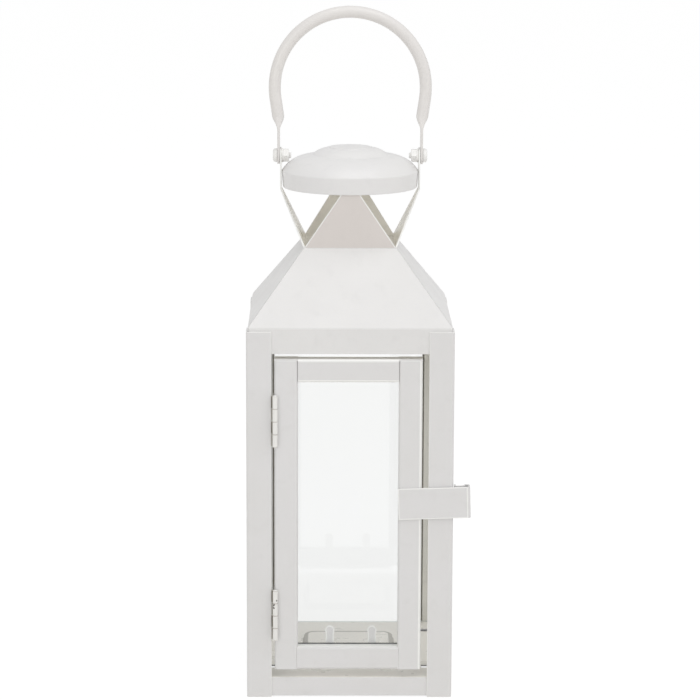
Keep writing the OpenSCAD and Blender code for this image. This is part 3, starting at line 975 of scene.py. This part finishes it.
@dataclass
class Pivot:
    """Pan-head bolt and flanged nut that carry one end of the bail.

    Steps are shares of the radius, with a share of the head's height or a distance from
    the flange's seat.
    """

    side: str
    head_height: float = 2.1 * MM
    head_steps: tuple[tuple[float, float], ...] = (
        (0.82, 0.92), (0.93, 0.74), (0.985, 0.5), (1.0, 0.3), (1.0, 0.06), (0.975, 0.0),
    )
    disc: float = 2.2 * MM
    recess_half: float = 0.45 * MM
    recess_reach: float = 1.45 * MM
    recess_depth: float = 1.0 * MM
    recess_floor: float = 0.8
    shank: float = 1.5 * MM
    thread_depth: float = 0.16 * MM
    thread_pitch: float = 0.5 * MM
    thread_foot: float = 0.35
    thread_top: float = 0.75
    threads: int = 4
    flange_height: float = 0.9 * MM
    flange_lap: float = 0.2 * MM
    flange_foot: float = 0.86
    flange_steps: tuple[tuple[float, float], ...] = (
        (0.98, 0.45 * MM), (1.0, 0.3 * MM), (1.0, 0.05 * MM), (0.98, 0.0),
    )
    nut_corner: float = 3.464 * MM
    nut_sides: int = 6
    nut_chamfer: float = 0.35 * MM
    nut_steepness: float = 0.7
    nut_round: float = 0.12 * MM
    round_points: int = 40

    def build(self) -> None:
        """Builds the bolt and the nut."""
        self.build_bolt()
        self.build_nut()

    def lay(self, shape: Shape, start: float, piece: str) -> None:
        """Lays a piece made along +Z on the pivot, pointing outwards, and finishes it.

        Args:
            shape: The piece.
            start: Distance of its zero from the lantern's middle.
            piece: bolt or nut.
        """
        low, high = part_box("pivot_bolt_" + self.side)
        place = Matrix.Translation((start, 0, (low[2] + high[2]) / 2))
        turn = Matrix.Rotation(pi / 2, 4, "Y")
        ops.recalc_face_normals(shape, faces=shape.faces)
        ops.transform(shape, matrix=place @ turn, verts=shape.verts)
        if self.side == "left":
            ops.transform(shape, matrix=Matrix.Scale(-1, 4, (1, 0, 0)), verts=shape.verts)
            ops.reverse_faces(shape, faces=shape.faces)
        name = piece + "_" + self.side
        Bench.finish(shape, name, "pivot_" + name, PAINTED_HARDWARE, slot=Slot.HARDWARE)

    def span(self, piece: str) -> tuple[float, float]:
        """Finds how far from the lantern's middle the bolt or the nut starts and ends."""
        low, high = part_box("pivot_" + piece + "_" + self.side)
        return tuple(sorted((abs(low[0]), abs(high[0]))))

    def build_bolt(self) -> None:
        """Builds the bolt from its cross recess down to its threaded end."""
        near, far = self.span("bolt")
        low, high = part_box("pivot_bolt_" + self.side)
        radius = (high[2] - low[2]) / 2
        shape = bmesh.new()
        top = Matrix.Translation((0, 0, self.head_height))
        ops.create_circle(
            shape, cap_ends=True, segments=self.round_points, radius=self.disc, matrix=top,
        )
        rim = shape.edges[:]
        rings = [(out * radius, share * self.head_height) for out, share in self.head_steps]
        rings += self.thread(far - near - self.head_height)
        width, height = self.disc, self.head_height
        for new_width, new_height in rings:
            scale = new_width / width
            move = Matrix.Translation((0, 0, new_height)) @ Matrix.Diagonal((scale, scale, 1, 1))
            rim = Bench.grow(shape, rim, move @ Matrix.Translation((0, 0, -height)))
            width, height = new_width, new_height
        Bench.close(shape, rim)
        self.sink_recess(shape)
        self.lay(shape, far - self.head_height, "bolt")

    def thread(self, length: float) -> list[tuple[float, float]]:
        """Outline of the shank with rounded ridges near its end.

        Args:
            length: Length of the shank below the head.

        Returns:
            Radius and height of each ring, from the head down.
        """
        start = length - self.threads * self.thread_pitch
        rings = [(self.shank, 0.0), (self.shank, -start)]
        for ridge in range(self.threads):
            base = start + ridge * self.thread_pitch
            foot = base + self.thread_foot * self.thread_pitch
            top = base + self.thread_top * self.thread_pitch
            rings += [(self.shank - self.thread_depth, -foot), (self.shank, -top)]
        return [*rings, (self.shank - 2 * self.thread_depth, -length)]

    def sink_recess(self, shape: Shape) -> None:
        """Cuts the cross out of the head's flat middle and sinks it.

        Args:
            shape: Mesh of the bolt, head upwards.
        """
        for axis in (Vector((1, 0, 0)), Vector((0, 1, 0))):
            for offset in (self.recess_half, self.recess_reach):
                for sign in (-1, 1):
                    Bench.cut(shape, self.disc_faces(shape), axis * offset * sign, axis)
        cross = [face for face in self.disc_faces(shape) if self.in_cross(face)]
        sunk = ops.extrude_face_region(shape, geom=cross)["geom"]
        ops.delete(shape, geom=cross, context="FACES_ONLY")
        narrower = Matrix.Diagonal((self.recess_floor, self.recess_floor, 1, 1))
        ops.transform(
            shape, verts=[item for item in sunk if isinstance(item, Vert)],
            matrix=Matrix.Translation((0, 0, -self.recess_depth)) @ narrower,
        )

    def disc_faces(self, shape: Shape) -> list[Face]:
        """Finds the faces of the head's flat middle, the highest of the bolt."""
        top = self.head_height - Bench.MERGE
        return [face for face in shape.faces if all(vert.co.z > top for vert in face.verts)]

    def in_cross(self, face: Face) -> bool:
        """Tells whether a face of the flat middle lies in the cross."""
        small, large = sorted(abs(part) for part in face.calc_center_median().xy)
        return small < self.recess_half and large < self.recess_reach

    def build_nut(self) -> None:
        """Builds the hexagon with its chamfer, and its round flange."""
        near, far = self.span("nut")
        length = far - near
        flat = 1 - self.nut_chamfer / self.nut_corner
        shape = bmesh.new()
        ops.create_circle(
            shape, cap_ends=True, segments=self.nut_sides, radius=self.nut_corner * flat,
        )
        wider = Matrix.Diagonal((1 / flat, 1 / flat, 1, 1))
        rise = self.nut_chamfer * self.nut_steepness
        rim = Bench.grow(shape, shape.edges[:], Matrix.Translation((0, 0, rise)) @ wider)
        lift = length - self.flange_height - rise
        rim = Bench.grow(shape, rim, Matrix.Translation((0, 0, lift)))
        Bench.close(shape, rim)
        ops.bevel(
            shape, geom=shape.edges[:], offset=self.nut_round, segments=2, profile=0.5,
            affect="EDGES", material=-1,
        )
        low = length - self.flange_height - self.flange_lap
        profile = [(0.0, low), (self.nut_corner * self.flange_foot, low)]
        profile += [(self.nut_corner * out, length - back) for out, back in self.flange_steps]
        flange = Bench.spun([*profile, (0.0, length)], self.round_points)
        spare = bpy.data.meshes.new("flange")
        flange.to_mesh(spare)
        flange.free()
        shape.from_mesh(spare)
        bpy.data.meshes.remove(spare)
        self.lay(shape, near, "nut")


@dataclass
class Pane:
    """A pane of float glass with arrissed edges."""

    node: str
    name: str
    body: Body = Body.HOUSING
    finish: Finish = GLAZED
    arris: Rounding = Rounding(0.3 * MM, steps=1)

    def build(self) -> None:
        """Builds the pane."""
        shape = Bench.copy_of(self.node)
        Bench.finish(shape, self.name, self.node, self.finish, self.arris, self.body, Slot.GLASS)


@dataclass
class Hinge:
    """Butt hinge: one leaf on the post, one on the door, and the pin through both."""

    level: str
    edge: float = 0.18 * MM
    barrel: float = 1.2 * MM
    pin_head: float = 1.05 * MM
    pin_dome: float = 0.35 * MM
    dome_steps: int = 5
    round_points: int = 32

    def build(self) -> None:
        """Builds both leaves and the pin."""
        for part, body in (("post_leaf", Body.HOUSING), ("door_leaf", Body.DOOR)):
            node = self.level + "_" + part
            shape = Bench.copy_of(node)
            # painted shade: the leaf's faces in the gap between the post's edge and the barrel are
            # painted dark
            PAINTED_HINGE.mark(filter(self.in_gap, shape.faces), DARK_STRIP_COAT)
            Bench.finish(
                shape, "hinge_" + node, node, PAINTED_HINGE, Rounding(self.edge), body,
                Slot.HARDWARE,
            )
        self.build_pin()

    def in_gap(self, face: Face) -> bool:
        """Tells whether a face lies in the gap between the post's edge and the barrel."""
        barrel_left = sum(end[0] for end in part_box(self.level + "_hinge_pin")) / 2 - self.barrel
        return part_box("post_front_left")[1][0] < face.calc_center_median().x < barrel_left

    def build_pin(self) -> None:
        """Builds the pin with a domed head at both ends."""
        node = self.level + "_hinge_pin"
        low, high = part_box(node)
        half = (high[2] - low[2]) / 2
        profile = [(0.0, -half)]
        for step in range(1, self.dome_steps + 1):
            angle = pi / 2 * step / self.dome_steps
            rise = self.pin_dome * (1 - cos(angle))
            profile.append((self.pin_head * sin(angle), -half + rise))
        profile += [(radius, -height) for radius, height in reversed(profile)]
        shape = Bench.spun(profile, self.round_points)
        middle = (Vector(low) + Vector(high)) / 2
        ops.translate(shape, verts=shape.verts, vec=middle)
        Bench.finish(shape, "pin_" + self.level, node, PAINTED_HARDWARE, slot=Slot.HARDWARE)


@dataclass
class Door:
    """Glazed door: two stiles, two rails, the pane and the latch strap."""

    edge: float = 0.07 * MM
    fold_strip: float = 0.5 * MM
    weld: float = 0.45 * MM
    tongue_rim: float = 0.6 * MM
    tongue_reach: float = 0.1 * MM
    strap_rim: float = 0.45 * MM
    level: float = 0.9

    def build(self) -> None:
        """Builds the door's frame, strap and pane, with painted highlights, on the latch stile
        only outside.
        """
        low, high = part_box("door_latch_stile")
        middle = (low[0] + high[0]) / 2
        for node, name, dress in (
            ("door_hinge_stile", "hinge_stile", lambda shape: None),
            ("door_latch_stile", "latch_stile", lambda shape: self.dress_folds(shape, middle)),
            ("door_top_rail", "top_rail", self.dress_folds),
            ("door_bottom_rail", "bottom_rail", self.dress_bottom_rail),
            ("latch_strap", "strap", self.dress_strap),
        ):
            shape = Bench.copy_of(node)
            dress(shape)
            Bench.finish(shape, name, node, PAINTED_DOOR, Rounding(self.edge), Body.DOOR)
        # the door pane's edge is near black: a painted shade line along the sill
        Pane("door_glass", "door_pane", Body.DOOR, GLAZED_DOOR).build()

    def on_fold(self, face: Face) -> bool:
        """Tells whether a face is one of a fold's narrow strips."""
        narrowest = min(edge.calc_length() for edge in face.edges)
        return len(face.verts) == 4 and narrowest < self.fold_strip

    def dress_folds(self, shape: Shape, start: float = -inf) -> None:
        """Paints highlights on the folds that lie to the right of a place along X."""
        beyond = [face for face in shape.faces if face.calc_center_median().x > start]
        PAINTED_DOOR.mark(filter(self.on_fold, beyond), EDGE_HIGHLIGHT_COAT)

    def dress_strap(self, shape: Shape) -> None:
        """Paints a highlight round the outline of the strap's face.

        Args:
            shape: Mesh of the strap.
        """
        fronts = [face for face in shape.faces if face.normal.y < -self.level]
        largest = max(fronts, key=lambda face: face.calc_area())
        rim = ops.inset_region(
            shape, faces=[largest], thickness=self.strap_rim, use_even_offset=True,
        )["faces"]
        PAINTED_DOOR.mark(rim, EDGE_HIGHLIGHT_COAT)

    def dress_bottom_rail(self, shape: Shape) -> None:
        """Runs the rail into the stiles and paints highlights on its sill and its tongues'
        outlines.

        Args:
            shape: Mesh of the rail.
        """
        low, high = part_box("door_bottom_rail")
        for end, way in ((low[0], -1), (high[0], 1)):
            points = [vert for vert in shape.verts if abs(vert.co.x - end) < Bench.MERGE]
            ops.translate(shape, verts=points, vec=(way * self.weld, 0, 0))
        sill = (face for face in shape.faces if face.normal.z > self.level)
        PAINTED_DOOR.mark(sill, EDGE_HIGHLIGHT_COAT)
        tongues = [
            face for face in shape.faces if abs(face.normal.y) > self.level
            and max(vert.co.z for vert in face.verts) > high[2] - self.tongue_reach
        ]
        rims = ops.inset_individual(
            shape, faces=tongues, thickness=self.tongue_rim, use_even_offset=True,
        )["faces"]
        PAINTED_DOOR.mark(rims, EDGE_HIGHLIGHT_COAT)


@dataclass
class FixedSide:
    """Pane of one fixed side and the two clips that hold it at the top."""

    side: str
    edge: float = 0.07 * MM

    def build(self) -> None:
        """Builds the pane and its clips."""
        Pane(self.side + "_glass", self.side + "_pane").build()
        node = self.side + "_glass_clips"
        Bench.finish(Bench.copy_of(node), "bent_" + node, node, PAINTED, Rounding(self.edge))


# --- Studio ---


@dataclass
class Softbox:
    """A square lamp that looks at a point."""

    name: str
    place: Point
    width: float
    power: float
    aim: Point = (0, 0, 0.2)

    def build(self) -> None:
        """Adds the lamp to the scene."""
        data = bpy.data.lights.new(self.name, "AREA")
        data.shape = "SQUARE"
        data.size = self.width
        data.energy = self.power
        lamp = Bench.placed(bpy.data.objects.new(self.name, data))
        lamp.location = self.place
        line = Vector(self.aim) - Vector(self.place)
        lamp.rotation_euler = line.to_track_quat("-Z", "Y").to_euler()


@dataclass
class Studio:
    """Camera, pale floor, soft lamps and white surroundings."""

    lens: float = 145.72
    sensor: float = 36
    camera_place: Point = (-0.0132, -1.3802, 0.4285)
    tilt: float = 79.132
    heading: float = -0.56
    roll: float = 0.2
    sky: float = 0.79
    floor_width: float = 24.0
    floor_colour: Colour = (0.93, 0.915, 0.89, 1.0)
    shadow_colour: Colour = (0.2, 0.2, 0.2, 1.0)
    glow: float = 0.87
    softboxes: tuple[Softbox, ...] = (
        Softbox("softbox_top", (0.15, -0.5, 1.3), 1.0, 4.9),
        Softbox("softbox_right", (1.9, -0.5, 0.9), 1.2, 3.4),
        Softbox("softbox_left", (-0.9, -1.7, 0.6), 0.5, 3.5),
    )

    def build(self) -> None:
        """Builds the whole studio."""
        self.camera()
        self.surroundings()
        self.floor()
        for box in self.softboxes:
            box.build()
        bpy.context.scene.view_settings.view_transform = "Standard"

    def camera(self) -> None:
        """Adds the camera and makes it the scene's own."""
        data = bpy.data.cameras.new("camera")
        data.lens = self.lens
        data.sensor_width = self.sensor
        camera = Bench.placed(bpy.data.objects.new("camera", data))
        turn = (
            Matrix.Rotation(radians(self.heading), 4, "Z")
            @ Matrix.Rotation(radians(self.tilt), 4, "X")
            @ Matrix.Rotation(radians(self.roll), 4, "Z")
        )
        camera.matrix_world = Matrix.Translation(self.camera_place) @ turn
        bpy.context.scene.camera = camera

    def surroundings(self) -> None:
        """Adds the surroundings: plain white in view, a little darker where they light."""
        world = bpy.data.worlds.new("surroundings")
        nodes = NodeTree(world)
        shown = nodes.rays(SHOWING)
        level = nodes.add("Mix", {0: shown, 2: self.sky, 3: 1.0}, data_type="FLOAT")[0]
        nodes.close(nodes.add("Background", {"Strength": level})[0], "OutputWorld")
        bpy.context.scene.world = world

    def floor(self) -> None:
        """Adds the pale floor, which shows nearly white and keeps the part's shadow."""
        shape = bmesh.new()
        ops.create_grid(shape, x_segments=1, y_segments=1, size=self.floor_width / 2)
        mesh = bpy.data.meshes.new("floor")
        shape.to_mesh(mesh)
        shape.free()
        floor = Bench.placed(bpy.data.objects.new("floor", mesh))
        material = bpy.data.materials.new("pale_floor")
        nodes = NodeTree(material)
        matt = nodes.add("BsdfDiffuse", {"Color": self.floor_colour})[0]
        shaded = nodes.add("BsdfDiffuse", {"Color": self.shadow_colour})[0]
        glow = nodes.add("Emission", {"Strength": self.glow})[0]
        bright = nodes.add("AddShader", {0: shaded, 1: glow})[0]
        nodes.close(nodes.either(nodes.rays(SHOWING), matt, bright))
        mesh.materials.append(material)


def main() -> None:
    """Builds the lantern piece by piece around the frame."""
    logging.basicConfig(level=logging.INFO, format="%(name)s: %(message)s")
    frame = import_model()
    log.info("%d solids in the frame", len(frame["nodes"]))
    Base().build()
    Hood().build()
    Cap().build()
    Handle().build()
    for side in ("left", "right"):
        Pivot(side).build()
    Door().build()
    for level in ("upper", "lower"):
        Hinge(level).build()
    for side in ("left", "right", "back"):
        FixedSide(side).build()
    Studio().build()


if __name__ == "__main__":
    main()
